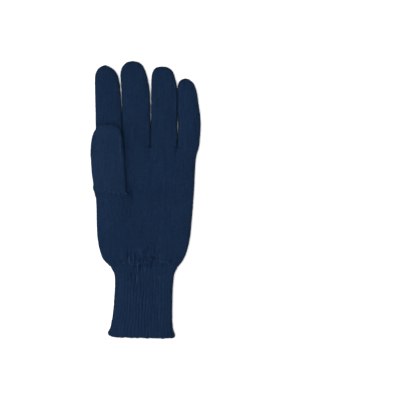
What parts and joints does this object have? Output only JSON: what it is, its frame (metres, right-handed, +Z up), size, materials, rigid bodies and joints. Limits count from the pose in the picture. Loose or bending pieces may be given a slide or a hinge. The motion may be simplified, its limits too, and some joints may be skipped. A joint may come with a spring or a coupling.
{
  "type": "glove liner",
  "caption": "Knitted glove liner for a left hand, lying empty and palm up: hollow finger tubes, thumb folded over the palm, gathered wrist, ribbed cuff with a cast-on edge",
  "frame": {"origin": "under the middle of the whole glove, on the surface that it lies on", "axes": "+Y points towards the fingertips, +X towards the little finger's side, +Z up out of the palm"},
  "size_m": [0.1052, 0.2656, 0.0175],
  "materials": {
    "jersey_knit": "matte",
    "rib_knit": "matte",
    "edge_yarn": "matte"
  },
  "bodies": {
    "root": {"index_finger": "jersey_knit", "middle_finger": "jersey_knit", "ring_finger": "jersey_knit", "little_finger": "jersey_knit", "thumb": "jersey_knit", "upper_palm": "jersey_knit", "lower_palm": "jersey_knit", "cuff": "rib_knit", "cuff_edge": "edge_yarn"}
  },
  "joints": []
}
